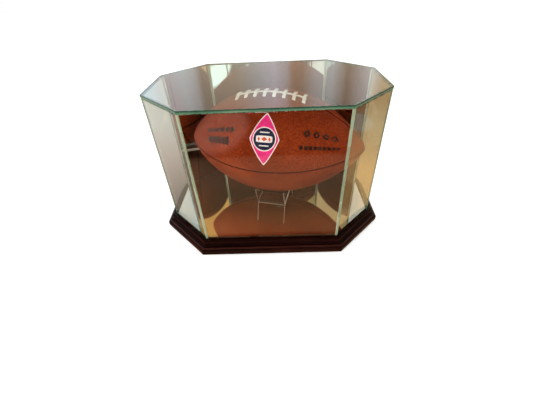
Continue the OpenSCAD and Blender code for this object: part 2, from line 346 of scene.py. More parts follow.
# ---------------------------------------------------------------- Mirror tape
# Six pads of white foam tape, sticky on both faces, hold the floor mirror down on the panel. They are
# cut from one roll and pressed down by hand.

def foam_tape():
    finish = Finish("foam_tape", {"Specular IOR Level": 0.25})
    foam = finish.cells(0.5 * MM)
    return finish.vary({
        "Base Color": finish.tones(foam, (0.1, srgb(232, 230, 224)), (0.6, srgb(204, 202, 196))),
        "Roughness": finish.spread(foam, 0.1, 0.6, 0.7, 0.9),
        "Normal": finish.bump((foam, 0.05 * MM))})


refinish("mirror_tape", foam_tape())


# ---------------------------------------------------------------- Floor mirror
# Silvered float glass cut to the inside of the cover. The silver shows on top, the ground edge is painted
# dull brown as a painted reflection of the moulding and painted shade in the gap, and a coat of grey-brown
# paint keeps the back from tarnishing.

arris = 0.25 * MM
plate_lift = 0.05 * MM
FACE, EDGE, BACK = range(3)


def octagon(out):
    """The case's outline moved outwards by a distance, anticlockwise."""
    corners = []
    for side in range(len(SIDES)):
        end = Vector((side_length(side) / 2 + out * math.tan(mitre), -out, 0))
        corners.append((side_frame(side) @ end).xy)
    return corners


def slab(outline, low, high):
    """Rings of a flat plate between two heights, with its sharp edges rubbed down."""
    levels = ((low, arris), (low + arris, 0), (high - arris, 0), (high, arris))
    return [[Vector((*point, height)) for point in inset(outline, depth)] for height, depth in levels]


def on_edges(band, place):
    """The same finish on the edge all round a plate."""
    return EDGE


def silvering():
    finish = Finish("silvering", {"Metallic": 1})
    haze = finish.noise(55 * MM, 3)
    return finish.vary({
        "Base Color": finish.tones(haze, (0.3, srgb(226, 233, 229)), (0.7, srgb(234, 239, 236))),
        "Roughness": finish.spread(haze, 0.4, 0.8, 0.0, 0.012)})


def ground_edge(name, *stops):
    """The edge of a plate, ground to a satin surface, with its tones along the marks of the wheel."""
    finish = Finish(name, {"Specular IOR Level": 0.6, "Coat Weight": 0.3, "Coat Roughness": 0.1})
    grinding = finish.noise(12 * MM, 4, (1, 1, 0.15))
    drift = finish.noise(40 * MM, 2)
    shade = finish.add("Mix", {"Factor": 0.5, "A": grinding, "B": drift})
    return finish.vary({
        "Base Color": finish.tones(shade, *stops),
        "Roughness": finish.spread(grinding, 0.3, 0.7, 0.22, 0.45),
        "Normal": finish.bump((grinding, 0.03 * MM))})


def backing_paint():
    finish = Finish("backing_paint", {"Specular IOR Level": 0.35})
    rolled = finish.noise(2.5 * MM, 4)
    return finish.vary({
        "Base Color": finish.tones(rolled, (0.3, srgb(84, 76, 68)), (0.7, srgb(104, 95, 85))),
        "Roughness": finish.spread(rolled, 0.3, 0.7, 0.45, 0.6),
        "Normal": finish.bump((rolled, 0.06 * MM))})


silver = silvering()
# The floor mirror's edge: brown as a painted reflection of the moulding, with painted shade from the gap.
painted_reflection_edge = ground_edge("floor_edge", (0.35, srgb(70, 50, 34)), (0.5, srgb(92, 66, 44)),
                        (0.65, srgb(116, 86, 58)))
back_paint = backing_paint()
floor_low, floor_high = (corner.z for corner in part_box("floor_mirror"))
build = bmesh.new()
loft(build, slab(octagon(-ledge_in), floor_low, floor_high), on_edges, caps=(BACK, FACE))
piece("mirror_floor", build, [silver, painted_reflection_edge, back_paint], "base", ["floor_mirror"])


# ---------------------------------------------------------------- Felt pads
# Eight discs of black felt under the mitres, so that the case doesn't scratch a shelf. They are punched
# from a sheet with a sticky back.

def black_felt():
    finish = Finish("black_felt", {"Sheen Weight": 0.4, "Specular IOR Level": 0.1})
    fibres = finish.noise(0.7 * MM, 6)
    return finish.vary({
        "Base Color": finish.tones(fibres, (0.3, srgb(18, 18, 19)), (0.7, srgb(42, 42, 44))),
        "Roughness": finish.spread(fibres, 0.3, 0.7, 0.85, 1),
        "Normal": finish.bump((fibres, 0.25 * MM))})


refinish("felt_pads", black_felt())


# ---------------------------------------------------------------- Clear panes
# Five panes of 4 mm float glass, ground square along their edges and stood on the ledge. Their faces
# are clear with a faint green cast, and lamps shine through them. The sealant wets the top edges clear.

pane_low, pane_high = (corner.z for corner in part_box("glass_front"))
joint_gap = 0.4 * MM
top_edge = 2
upright_edges = (1, 3)
CLEAR, GREEN, PALE = range(3)
upright = Matrix.Rotation(math.radians(90), 4, "X")


def clear_glass(name, tint, gloss):
    """Polished glass, even all over, so that nothing on it hides what it shows."""
    return Finish(name, {
        "Base Color": tint, "Roughness": 0, "Transmission Weight": 1, "IOR": 1.5,
        "Specular IOR Level": gloss}).material


def pane_rings(side):
    """Rings of an upright pane in its own frame, from its inner face to its outer one. Each ring runs
    along the foot, up one end, back along the top edge and down the other end."""
    half = side_length(side) / 2 - pane_t * math.tan(mitre) - joint_gap / 2 - plate_lift
    high = pane_high - plate_lift
    outline = [Vector(point) for point in ((-half, pane_low), (half, pane_low), (half, high), (-half, high))]
    return slab(outline, -pane_t, 0)


def pane_finish(side, place):
    """Clear along the top edge, pale up the ends of the front pane, and green along the other edges."""
    if place == top_edge:
        return CLEAR
    return PALE if side == 0 and place in upright_edges else GREEN


pane_clear = clear_glass("pane_clear", (0.92, 0.93, 0.89, 1), 0.05)
edge_green = ground_edge("clear_edge", (0.35, srgb(48, 88, 70)), (0.5, srgb(60, 102, 82)),
                         (0.65, srgb(80, 120, 96)))
edge_pale = ground_edge("pale_edge", (0.35, srgb(142, 154, 126)), (0.5, srgb(182, 188, 157)),
                        (0.65, srgb(218, 220, 191)))
for side, name in enumerate(SIDES):
    if name.startswith("back"):
        continue
    build = bmesh.new()
    loft(build, pane_rings(side), lambda band, place: pane_finish(side, place))
    pane = piece(f"pane_{name}", build, [pane_clear, edge_green, edge_pale], "cover",
                 [f"glass_{name}"], side_frame(side) @ upright)
    pane.visible_shadow = False


# ---------------------------------------------------------------- Mirror panes
# Three mirror panes close the back. They are silvered towards the ball, painted on the outside, and
# ground along their edges. The silver is stripped along the upright edges, where the sealant grips.

strip_w = 2 * MM
SILVERED, GROUND, PAINTED, STRIPPED = range(4)


def mirror_finish(band, place):
    """Pale up both ends like the stripped glass, and green along the foot and the top."""
    return STRIPPED if place in upright_edges else GROUND


for side, name in enumerate(SIDES):
    if not name.startswith("back"):
        continue
    build = bmesh.new()
    rings = pane_rings(side)
    loft(build, rings, mirror_finish, caps=(SILVERED, PAINTED))
    silver_half = max(point.x for point in rings[0]) - strip_w
    for end in (-1, 1):
        bmesh.ops.bisect_plane(build, geom=build.verts[:] + build.edges[:] + build.faces[:],
                               plane_co=(end * silver_half, 0, 0), plane_no=(1, 0, 0))
    for face in build.faces:
        if face.material_index == SILVERED and abs(face.calc_center_median().x) > silver_half:
            face.material_index = STRIPPED
    piece(f"silvered_{name}", build, [silver, edge_green, back_paint, edge_pale], "cover",
          [f"mirror_{name}"], side_frame(side) @ upright)


# ---------------------------------------------------------------- Top plate
# One plate of clear float glass over the panes' upper edges, cut flush with them. Its polished rim
# shows the glass's depth as teal green, darker towards the top.

top_low, top_high = (corner.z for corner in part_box("glass_top"))


def polished_rim():
    finish = Finish("polished_rim", {"Specular IOR Level": 0.3, "Coat Weight": 0.2, "Coat Roughness": 0.04})
    height = finish.add("SeparateXYZ", {0: finish.place()}, 2)
    depth = finish.spread(height, top_low, top_high, 1, 0)
    wander = finish.noise(35 * MM, 3)
    shade = finish.calc("MULTIPLY", depth, wander)
    return finish.vary({
        "Base Color": finish.tones(shade, (0.05, srgb(30, 54, 42)), (0.25, srgb(54, 84, 65)),
                                   (0.55, srgb(84, 106, 82))),
        "Roughness": finish.spread(wander, 0.3, 0.7, 0.08, 0.2),
        "Normal": finish.bump((finish.noise(6 * MM), 0.02 * MM))})


top_clear = clear_glass("top_clear", (0.9, 0.95, 0.93, 1), 0.5)
build = bmesh.new()
loft(build, slab(octagon(0), top_low + plate_lift, top_high), on_edges)
top_plate = piece("top_plate", build, [top_clear, polished_rim()], "cover", ["glass_top"])
top_plate.visible_shadow = False


# ---------------------------------------------------------------- Sealant
# Clear silicone, drawn down the V joint at each corner and run round under the top plate. It cures to
# a milky green-white at the corners, and stays clear in the thin line under the plate.

def silicone(name, clearness, thin, thick):
    finish = Finish(name, {"IOR": 1.41, "Transmission Weight": clearness, "Specular IOR Level": 0.5})
    milk = finish.noise(9 * MM, 3, (1, 1, 0.12))
    return finish.vary({
        "Base Color": finish.tones(milk, (0.3, thin), (0.7, thick)),
        "Roughness": finish.spread(milk, 0.3, 0.7, 0.18, 0.35),
        "Normal": finish.bump((milk, 0.04 * MM))})


refinish("corner_beads", silicone("corner_silicone", 0.35, srgb(114, 127, 103), srgb(148, 158, 130)))
refinish("top_bead", silicone("rim_silicone", 0.97, srgb(104, 118, 98), srgb(128, 138, 116)))
for node in ("corner_beads", "top_bead"):
    nodes[node].visible_shadow = False


# ---------------------------------------------------------------- Cradle
# One strip of clear acrylic sheet, bent hot into a foot with two arms that lean outwards. Its faces are
# glass-clear and its sawn sides are flame-polished. The sides are painted pale as a painted highlight, and a
# painted highlight line runs along the outside of each bend.

_, turn_joint, roll_joint = frame["joints"]
display = Vector(turn_joint["pos_m"])
ball_axis = Vector(roll_joint["axis"])
display_turn = Matrix.Rotation(math.atan2(ball_axis.y, ball_axis.x), 4, "Z")

cradle_w = 48.5 * MM
cradle_d = 67 * MM
cradle_h = 35 * MM
cradle_lean = math.radians(19.5)
cradle_t = 3 * MM
bend_r = 3 * MM
cradle_edge = 0.5 * MM
outer_face = 7
cradle_faces = (3, outer_face)
bend_highlight_bands = (6, 7)
PLAIN, FLAMED_HIGHLIGHT, BEND_HIGHLIGHT = range(3)


def half_cradle():
    """Stations from the foot's middle to an arm's tip: a point on the outer face, as distance from the
    middle and height, the way across the sheet's thickness, and how far the end is rounded off."""
    outer_r = bend_r + cradle_t
    centre = Vector((cradle_d / 2 - outer_r * math.tan((math.radians(90) - cradle_lean) / 2), outer_r))
    arm = (cradle_h - outer_r + bend_r * math.sin(cradle_lean)) / math.cos(cradle_lean)
    along = Vector((math.sin(cradle_lean), math.cos(cradle_lean)))
    stations = []
    for point in arc(centre, outer_r, -90, -math.degrees(cradle_lean), 10):
        stations.append((point, (centre - point).normalized(), 0))
    root, across, _ = stations[-1]
    stations.append((root + along * (arm - cradle_edge), across, 0))
    stations.append((root + along * arm, across, cradle_edge))
    return stations


def cradle_ring(point, across, drawn_in):
    """The sheet's cross-section at a station, with eased corners."""
    wide = cradle_w / 2 - drawn_in
    thin = cradle_t - drawn_in
    corners = ((wide - cradle_edge, drawn_in), (wide, drawn_in + cradle_edge), (wide, thin - cradle_edge),
               (wide - cradle_edge, thin))
    ring = [*corners, *[(-x, depth) for x, depth in reversed(corners)]]
    return [Vector((x, *(point + across * depth))) for x, depth in ring]


def clear_acrylic():
    """The sheet's own faces, as clear as they left the caster."""
    return Finish("clear_acrylic", {
        "Base Color": (0.96, 0.97, 0.96, 1), "Roughness": 0, "Transmission Weight": 1, "IOR": 1.49}).material


def highlight_acrylic(name, clearness, dull, bright):
    """Acrylic along the flamed sides and the bends, painted pale and partly clear as a painted highlight."""
    finish = Finish(name, {"Transmission Weight": clearness, "IOR": 1.49})
    ripple = finish.noise(5 * MM, 3)
    return finish.vary({
        "Base Color": finish.tones(ripple, (0.3, dull), (0.7, bright)),
        "Roughness": finish.spread(ripple, 0.3, 0.7, 0.08, 0.22),
        "Normal": finish.bump((ripple, 0.1 * MM))})


right_half = [cradle_ring(*station) for station in half_cradle()]
left_half = [[Vector((p.x, -p.y, p.z)) for p in ring] for ring in reversed(right_half)]
last_band = 2 * len(right_half) - 2


def cradle_finish(band, place):
    """Clear faces and tips, flamed sides with a painted highlight, and a painted highlight line along the
    outside of each bend.
    """
    band = min(band, last_band - band)
    if band == 0:
        return PLAIN
    if place not in cradle_faces:
        return FLAMED_HIGHLIGHT
    return BEND_HIGHLIGHT if place == outer_face and band in bend_highlight_bands else PLAIN


build = bmesh.new()
loft(build, left_half + right_half, cradle_finish)
# The pale tones on the sides and along the bends are painted highlights.
cradle_skins = [clear_acrylic(), highlight_acrylic("flamed_side_highlight", 0.3, srgb(226, 192, 172), srgb(244, 218, 200)),
                highlight_acrylic("painted_bend_highlight", 0.3, srgb(226, 176, 148), srgb(250, 208, 180))]
cradle = piece("cradle", build, cradle_skins, "stand", ["ball_stand"],
               Matrix.Translation(display + Vector((0, 0, plate_lift))) @ display_turn)
cradle.visible_shadow = False


# ---------------------------------------------------------------- Leather panels
# Four panels of pebbled leather, sewn inside out and turned, so that each edge rolls inwards into
# the seam. The lacing closes the uppermost seam.

ball_half = 282 * MM / 2
ball_r = 159 * MM / 2
ball_power = 0.74
ball_roll = math.radians(7)
leather_t = 2.8 * MM
shoulder_r = 2.8 * MM
narrow_share = 0.3
roll_steps = 5
face_steps = 32
lining_steps = 12
stations = 120
tip_share = 0.9998
quarter_turn = math.radians(90)
PANELS = ["top_front", "bottom_front", "bottom_back", "top_back"]
ball_turn = display_turn @ Matrix.Rotation(ball_roll, 4, "X")
ball_middle = Matrix.Translation(Vector(roll_joint["pos_m"]))
ball_place = ball_middle @ ball_turn


def ball_radius(x, depth=0):
    """The ball's radius at a place along it, drawn in by a depth."""
    share = max(0, 1 - (x / (ball_half - depth)) ** 2)
    return (ball_r - depth) * share ** ball_power


def around(x, radius, angle):
    """A point at a place along the ball, with its angle from the lacing towards the front."""
    return Vector((x, -radius * math.sin(angle), radius * math.cos(angle)))


def panel_ring(share, quarter):
    """A panel's section at a share of the ball's half-length: its outer face, then its inner one. The
    edges roll in to the seams, by less towards the tips, where the panel narrows."""
    start = quarter_turn * quarter
    x = ball_half * share
    radius = ball_radius(x)
    roll = min(shoulder_r, radius * narrow_share)
    edge = []
    for step in range(roll_steps + 1):
        angle = quarter_turn * step / roll_steps
        edge.append((roll * (1 - math.cos(angle)) / radius, roll * (1 - math.sin(angle))))
    first = edge[-1][0]
    wide = quarter_turn - 2 * first
    middle = [(first + wide * step / face_steps, 0) for step in range(1, face_steps)]
    outer = edge + middle + [(quarter_turn - angle, depth) for angle, depth in reversed(edge)]
    ring = [around(x, radius - depth, start + angle) for angle, depth in outer]
    inner_x = (ball_half - leather_t) * share
    inner_r = ball_radius(inner_x, leather_t)
    for step in range(lining_steps, -1, -1):
        ring.append(around(inner_x, inner_r, start + quarter_turn * step / lining_steps))
    return ring


def pebbled_leather():
    """Tanned hide with an embossed pebble. Painted shade darkens it between the pebbles and down in the
    seams, and a painted highlight runs along each seam's shoulder.
    """
    finish = Finish("pebbled_leather", {"Specular IOR Level": 0.05})
    pebble = finish.cells(1.3 * MM)
    crease = finish.noise(2.4 * MM, 4)
    cloud = finish.noise(60 * MM, 3, (0.6, 1, 1))
    dome = finish.spread(pebble, 0.05, 0.7, 1, 0)
    shade = finish.add("Mix", {"Factor": 0.6, "A": cloud, "B": crease})
    hide = finish.tones(shade, (0.36, srgb(95, 29, 7)), (0.5, srgb(117, 40, 12)), (0.64, srgb(141, 54, 20)))
    own = finish.add("Mapping", {"Vector": finish.place(), "Rotation": ball_turn.inverted().to_euler()})
    place = finish.add("SeparateXYZ", {0: own}).node.outputs
    # Painted shade, darkest down in the seams and between the pebbles, with a band of painted highlight along
    # each seam's shoulder.
    from_seam = finish.calc("MINIMUM", finish.calc("ABSOLUTE", place[1]), finish.calc("ABSOLUTE", place[2]))
    depth = finish.calc("MULTIPLY", finish.spread(from_seam, 0.3 * MM, 4.5 * MM, 0, 1),
                        finish.spread(dome, 0, 0.45, 0.85, 1))
    painted_shade_and_highlight = finish.tones(depth, (0.0, (0.3, 0.12, 0.08, 1)), (0.25, (0.85, 0.75, 0.7, 1)),
                          (0.5, (1.25, 1.25, 1.3, 1)), (1.0, (1, 1, 1, 1)))
    return finish.vary({
        "Base Color": finish.mix(1, hide, painted_shade_and_highlight, "MULTIPLY"),
        "Roughness": finish.spread(crease, 0.3, 0.7, 0.42, 0.56),
        "Normal": finish.bump((crease, 0.1 * MM), (dome, 0.14 * MM))})


leather = pebbled_leather()
shares = [tip_share * math.sin(math.pi * (step / stations - 0.5)) for step in range(stations + 1)]
for quarter, name in enumerate(PANELS):
    build = bmesh.new()
    loft(build, [panel_ring(share, quarter) for share in shares])
    bmesh.ops.transform(build, matrix=ball_turn, verts=build.verts)
    piece(f"leather_{name}", build, [leather], "ball", [f"ball_panel_{name}"], ball_middle,
          crease=50)


# ---------------------------------------------------------------- Lacing
# One white lace of coated webbing: a run along the seam, and eight bars over it, each of which dives
# into a punched hole at both ends.

lace_count = 8
lace_pitch = 14 * MM
lace_w = 5 * MM
lace_t = 1.4 * MM
run_w = 4 * MM
bar_half = 12.5 * MM
lace_rest = 0.9 * MM
bar_rise = 1.5 * MM
bar_crown = 1.5 * MM
bar_slope = 4.5 * MM
bar_dive = 3 * MM
hole_place = 10 * MM
hole_slope = 3.2 * MM
bar_steps = 14
run_dip = 0.25 * MM
run_tuck = 1.6 * MM
tuck_len = 4 * MM
run_steps = 60


def ribbon(path, across, width, thick, steps=16, squareness=0.55):
    """Rings of a flat lace along a path, with rounded edges. across is the way of its width."""
    rings = []
    for before, point, after in zip(path[:1] + path[:-1], path, path[1:] + path[-1:]):
        up = across.cross(after - before).normalized()
        ring = []
        for step in range(steps):
            angle = 2 * math.pi * step / steps
            wide = math.copysign(abs(math.cos(angle)) ** squareness, math.cos(angle)) * width / 2
            deep = math.copysign(abs(math.sin(angle)) ** squareness, math.sin(angle)) * thick / 2
            ring.append(point + across * wide + up * deep)
        rings.append(ring)
    return rings


def smooth(share):
    """A share held between 0 and 1, with a smooth start and end."""
    share = min(1, max(0, share))
    return share * share * (3 - 2 * share)


def bar_path(x):
    """A bar's path over the seam at a place along the ball, down into a hole at each end."""
    path = []
    for step in range(-bar_steps, bar_steps + 1):
        distance = bar_half * step / bar_steps
        rise = bar_rise * (1 - smooth((abs(distance) - bar_crown) / bar_slope))
        dive = bar_dive * smooth((abs(distance) - hole_place) / hole_slope)
        radius = ball_radius(x) + lace_rest + rise - dive
        path.append(around(x, radius, distance / ball_radius(x)))
    return path


def run_path():
    """The run along the seam, dipping a little under each bar and tucked in at both ends."""
    path = []
    half_run = lace_pitch * (lace_count - 1) / 2 + lace_w / 2
    for step in range(-run_steps, run_steps + 1):
        x = half_run * step / run_steps
        dip = run_dip * math.cos(2 * math.pi * (x / lace_pitch - 0.5))
        tuck = run_tuck * smooth((abs(x) - half_run + tuck_len) / tuck_len)
        path.append(around(x, ball_radius(x) + lace_rest - dip - tuck, 0))
    return path


def lace_webbing():
    finish = Finish("lace_webbing", {"Specular IOR Level": 0.35, "Sheen Weight": 0.15})
    weave = finish.cells(0.7 * MM)
    soil = finish.noise(14 * MM, 3)
    return finish.vary({
        "Base Color": finish.tones(soil, (0.3, srgb(214, 198, 176)), (0.5, srgb(236, 226, 210)),
                                   (0.7, srgb(244, 238, 228))),
        "Roughness": finish.spread(weave, 0.1, 0.6, 0.5, 0.7),
        "Normal": finish.bump((weave, 0.08 * MM))})


build = bmesh.new()
loft(build, ribbon(run_path(), Vector((0, 1, 0)), run_w, lace_t))
for bar in range(lace_count):
    x = lace_pitch * (bar - (lace_count - 1) / 2)
    loft(build, ribbon(bar_path(x), Vector((1, 0, 0)), lace_w, lace_t))
piece("lacing", build, [lace_webbing()], "ball", ["ball_laces"], ball_place, crease=60)


# ---------------------------------------------------------------- Printed badge
# A plain badge is printed on the front of the upper panel: a pink lozenge with a navy roundel on it,
# both edged in white. It is laid on in layers of ink, each a little proud of the last.

badge_x = 3.5 * MM
badge_down = ball_r * math.radians(54)
badge_w = 42 * MM
badge_h = 74 * MM
badge_rim = 2.6 * MM
roundel_d = 33 * MM
first_layer = 0.08 * MM
layer_t = 0.05 * MM
print_root = 0.2 * MM
print_middle = 0.02
LOZENGE = 1
SOFT_LOZENGE = 1.15
ELLIPSE = 2
BAR = 4
SQUARE_BAR = 6


def rounded(x, across, width, height, power):
    """A closed outline on the ball about a centre, given as a place along the ball and a distance round
    it from the lacing. The power sets its kind, from a lozenge to a square-ended bar."""
    count = 48
    outline = []
    for step in range(count):
        angle = 2 * math.pi * step / count
        c, s = math.cos(angle), math.sin(angle)
        along = math.copysign(abs(c) ** (2 / power), c) * width / 2
        down = math.copysign(abs(s) ** (2 / power), s) * height / 2
        outline.append(Vector((along, down)))
    return Vector((x, across)), outline


def patch(build, shape, lift, ink, rows=8):
    """Adds a thin patch of a shape on the leather, which stands a little proud of it. Its rings go out
    over its face and come back underneath."""
    centre, outline = shape
    rings = []
    upper = [(row / rows, lift) for row in range(rows + 1)]
    lower = [(share, -print_root) for share, _ in reversed(upper)]
    for share, height in upper + lower:
        places = [centre + point * max(share, print_middle) for point in outline]
        rings.append([around(p.x, ball_radius(p.x) + height, p.y / ball_r) for p in places])
    loft(build, rings, lambda band, place: ink, (ink, ink))


def print_ink(name, low, high):
    """Print or stamping foil on leather, with the pebble showing through it."""
    finish = Finish(name, {"Specular IOR Level": 0.4})
    pebble = finish.cells(1.3 * MM)
    wear_and_painted_highlight = finish.noise(5 * MM, 3)
    return finish.vary({
        "Base Color": finish.tones(wear_and_painted_highlight, (0.3, low), (0.7, high)),
        "Roughness": finish.spread(wear_and_painted_highlight, 0.3, 0.7, 0.38, 0.5),
        "Normal": finish.bump((finish.spread(pebble, 0.05, 0.7, 1, 0), 0.1 * MM))})


white_ink = print_ink("white_ink", srgb(226, 206, 206), srgb(246, 236, 234))
pink_ink = print_ink("pink_ink", srgb(214, 24, 104), srgb(236, 46, 132))
navy_ink = print_ink("navy_ink", srgb(18, 24, 50), srgb(32, 40, 70))
orange_ink = print_ink("orange_ink", srgb(206, 66, 30), srgb(232, 98, 52))
WHITE, PINK, NAVY, ORANGE = range(4)

# Each layer as its width, height, power and ink, with the lowest first. The lozenge is drawn in more
# along its height than across, so that its white edging is about as wide all round.
layers = [(badge_w, badge_h, SOFT_LOZENGE, WHITE),
          (badge_w - badge_rim, badge_h - 1.6 * badge_rim, SOFT_LOZENGE, PINK),
          (roundel_d, roundel_d, ELLIPSE, WHITE),
          (roundel_d - badge_rim, roundel_d - badge_rim, ELLIPSE, NAVY),
          (23 * MM, 9 * MM, SQUARE_BAR, WHITE),
          (9 * MM, 6 * MM, LOZENGE, ORANGE)]
build = bmesh.new()
for level, (width, height, power, ink) in enumerate(layers):
    patch(build, rounded(badge_x, badge_down, width, height, power), first_layer + layer_t * level, ink)
last_layer = first_layer + layer_t * len(layers)
for end in (-1, 1):
    side_gem = rounded(badge_x + end * 7.5 * MM, badge_down, 4 * MM, 6 * MM, LOZENGE)
    patch(build, side_gem, last_layer, ORANGE)
    cross_bar = rounded(badge_x, badge_down + end * 9 * MM, 14 * MM, 1.6 * MM, BAR)
    patch(build, cross_bar, last_layer, WHITE)
piece("ball_badge", build, [white_ink, pink_ink, navy_ink, orange_ink], "ball",
      place=ball_place)


# ---------------------------------------------------------------- Stamped marks
# To the badge's sides the leather is stamped with dark foil in plain borders: dots over upright bars on
# the left, and open diamonds over short dashes on the right.

mark_lift = 0.14 * MM
DIAMOND = 1.2
DOT = 1.8
FOIL, BARE = range(2)


def stamp(build, count, start, pitch, turn, width, height, power, ink=FOIL, lift=mark_lift, rows=5):
    """Stamps a row of like marks along the ball, at a turn in degrees round it from the lacing."""
    for step in range(count):
        mark = rounded(start + pitch * step, ball_r * math.radians(turn), width, height, power)
        patch(build, mark, lift, ink, rows)


left_foil = print_ink("grey_foil", srgb(12, 11, 9), srgb(27, 24, 19))
build = bmesh.new()
stamp(build, 6, start=-88 * MM, pitch=8.4 * MM, turn=46, width=7 * MM, height=9.4 * MM, power=DOT, rows=4)
stamp(build, 6, start=-86 * MM, pitch=6.6 * MM, turn=59, width=5.6 * MM, height=13.6 * MM, power=BAR)
piece("stamped_border_left", build, [left_foil], "ball", place=ball_place)

right_foil = print_ink("brown_foil", srgb(34, 16, 9), srgb(56, 28, 16))
build = bmesh.new()
stamp(build, 4, start=60 * MM, pitch=12.5 * MM, turn=44, width=9.5 * MM, height=13 * MM, power=DIAMOND)
stamp(build, 4, start=60 * MM, pitch=12.5 * MM, turn=44, width=3.4 * MM, height=5 * MM, power=DIAMOND,
      ink=BARE, lift=mark_lift + layer_t, rows=3)
stamp(build, 9, start=54 * MM, pitch=6.2 * MM, turn=60, width=4.6 * MM, height=7 * MM, power=BAR, rows=3)
piece("stamped_border_right", build, [right_foil, leather], "ball", place=ball_place)


# ---------------------------------------------------------------- Bladder and valve
# A moulded rubber bladder holds the air, and its valve stands flush in the lower back panel. Both are
# black, with the grey bloom of new rubber.

def black_rubber():
    finish = Finish("black_rubber", {"Specular IOR Level": 0.35})
    bloom = finish.noise(3 * MM, 4)
    return finish.vary({
        "Base Color": finish.tones(bloom, (0.3, srgb(20, 20, 21)), (0.7, srgb(38, 38, 39))),
        "Roughness": finish.spread(bloom, 0.3, 0.7, 0.5, 0.7),
        "Normal": finish.bump((bloom, 0.04 * MM))})


rubber = black_rubber()
refinish("ball_bladder", rubber)
refinish("ball_valve", rubber)


# ---------------------------------------------------------------- Studio floor
# A wide sheet of white paper under the case. Soft tones are painted on it as painted reflections of the room
# round a real case, which only the glass and the mirrors pick up: dark brown in front, tan beyond that, and
# paler to the sides.

scene = bpy.context.scene
scene.view_settings.view_transform = "Standard"

floor_r = 6
window_glow = 0.45
paper_glow = 0.25

build = bmesh.new()
bmesh.ops.create_circle(build, cap_ends=True, segments=96, radius=floor_r)
mesh = bpy.data.meshes.new("studio_floor")
build.to_mesh(mesh)
build.free()
floor = bpy.data.objects.new("studio_floor", mesh)
scene.collection.objects.link(floor)
paper = Finish("studio_paper", {"Roughness": 0.9, "Specular IOR Level": 0.1})


def pool(x, y, half_w, half_d):
    """1 on a patch of the floor about a place, fading to 0 at its rim."""
    offset = paper.add("Mapping", {"Vector": paper.place(), "Location": (-x / half_w, -y / half_d, 0),
                                   "Scale": (1 / half_w, 1 / half_d, 0)})
    return paper.spread(paper.add("VectorMath", {0: offset}, "Value", operation="LENGTH"), 0.75, 1.15, 1, 0)


# The tones beside the case go by how far out and back they lie, and those ahead by how far in front.
spot = paper.add("SeparateXYZ", {0: paper.place()}).node.outputs
away = paper.calc("ADD", paper.calc("ABSOLUTE", spot[0]), spot[1])
left_tone = paper.tones(away, (0.2, srgb(150, 140, 128)), (0.3, srgb(172, 158, 148)),
                        (0.45, srgb(190, 178, 170)), (0.75, srgb(204, 202, 196)))
right_tone = paper.tones(away, (0.32, srgb(232, 190, 130)), (0.45, srgb(200, 168, 120)),
                         (0.65, srgb(186, 162, 122)), (0.9, srgb(170, 140, 100)))
beside = paper.mix(paper.spread(spot[0], -0.05, 0.05, 0, 1), left_tone, right_tone)
ahead = paper.tones(paper.calc("ADD", spot[1], 1),
                    (0.5, (0.015, 0.004, 0.001, 1)), (0.6, (0.03, 0.008, 0.002, 1)),
                    (0.61, (0.3, 0.19, 0.11, 1)), (0.7, (0.46, 0.31, 0.19, 1)),
                    (0.8, (0.52, 0.3, 0.14, 1)), (0.83, (0.82, 0.38, 0.16, 1)))
tone_seen = paper.mix(paper.spread(spot[1], -0.12, -0.08, 1, 0), beside, ahead)
# A pink-brown pool of painted reflection in front of the case's left.
tone_seen = paper.mix(pool(-0.14, -0.57, 0.075, 0.16), tone_seen, (0.6, 0.34, 0.28, 1))

# Some pools of painted reflection show only in the outside of the panes. Others show only from within the
# case, by way of the mirrors, and the brightest of those is a painted window that glows.
ray = paper.tree.nodes.new("ShaderNodeLightPath").outputs
outside = paper.calc("LESS_THAN", ray["Transmission Depth"], 0.5)
within = paper.calc("GREATER_THAN", ray["Transmission Depth"], 3.5)
window = paper.calc("MULTIPLY", pool(-0.236, -0.75, 0.05, 0.26), within)
for fade, way, tone in ((pool(0.575, 0.035, 0.07, 0.045), outside, (0.67, 0.72, 0.62, 1)),
                        (pool(0.235, -0.062, 0.055, 0.024), outside, (0.42, 0.26, 0.1, 1)),
                        (pool(-0.275, -0.78, 0.03, 0.1), within, srgb(226, 226, 206)),
                        (window, within, (0.84, 1, 1, 1)),
                        (pool(0.235, -0.75, 0.07, 0.17), within, srgb(232, 230, 216)),
                        (pool(-0.83, -0.075, 0.05, 0.05), within, (1, 1, 0.98, 1))):
    tone_seen = paper.mix(paper.calc("MULTIPLY", fade, way), tone_seen, tone)

# The camera, and the light that the paper throws on the case, find it plain white.
scattered = paper.calc("GREATER_THAN", ray["Diffuse Depth"], 0.5)
plain = paper.calc("MAXIMUM", ray["Is Camera Ray"], scattered)
window_seen = paper.calc("MAXIMUM", paper.calc("SUBTRACT", window, plain), 0)
glow = paper.calc("ADD", paper.calc("MULTIPLY", window_seen, window_glow),
                  paper.calc("MULTIPLY", ray["Is Camera Ray"], paper_glow))
mesh.materials.append(paper.vary({
    "Base Color": paper.mix(plain, tone_seen, (0.9, 0.9, 0.9, 1)),
    "Emission Color": paper.mix(plain, (0.78, 1, 1, 1), (1, 1, 1, 1)),
    "Emission Strength": glow}))


# ---------------------------------------------------------------- Studio room
# A pale room round the paper, brown behind the viewer and bright over the back. The camera sees it
# white, the case is lit by it as by an overcast sky, and only the mirrors and the glass see its walls.

world = bpy.data.worlds.new("studio_room")
world.use_nodes = True
scene.world = world
room = Nodes(world.node_tree)
towards = room.add("TexCoord", {}, "Generated")


def lobe(azimuth, elevation, inner, outer):
    """1 in a direction of the room, fading to 0 between two angles from it. Azimuth 0 is straight back."""
    turn, rise = math.radians(azimuth), math.radians(elevation)
    centre = (math.sin(turn) * math.cos(rise), math.cos(turn) * math.cos(rise), math.sin(rise))
    near = room.add("VectorMath", {0: towards, 1: centre}, "Value", operation="DOT_PRODUCT")
    return room.spread(near, math.cos(math.radians(outer)), math.cos(math.radians(inner)), 0, 1)


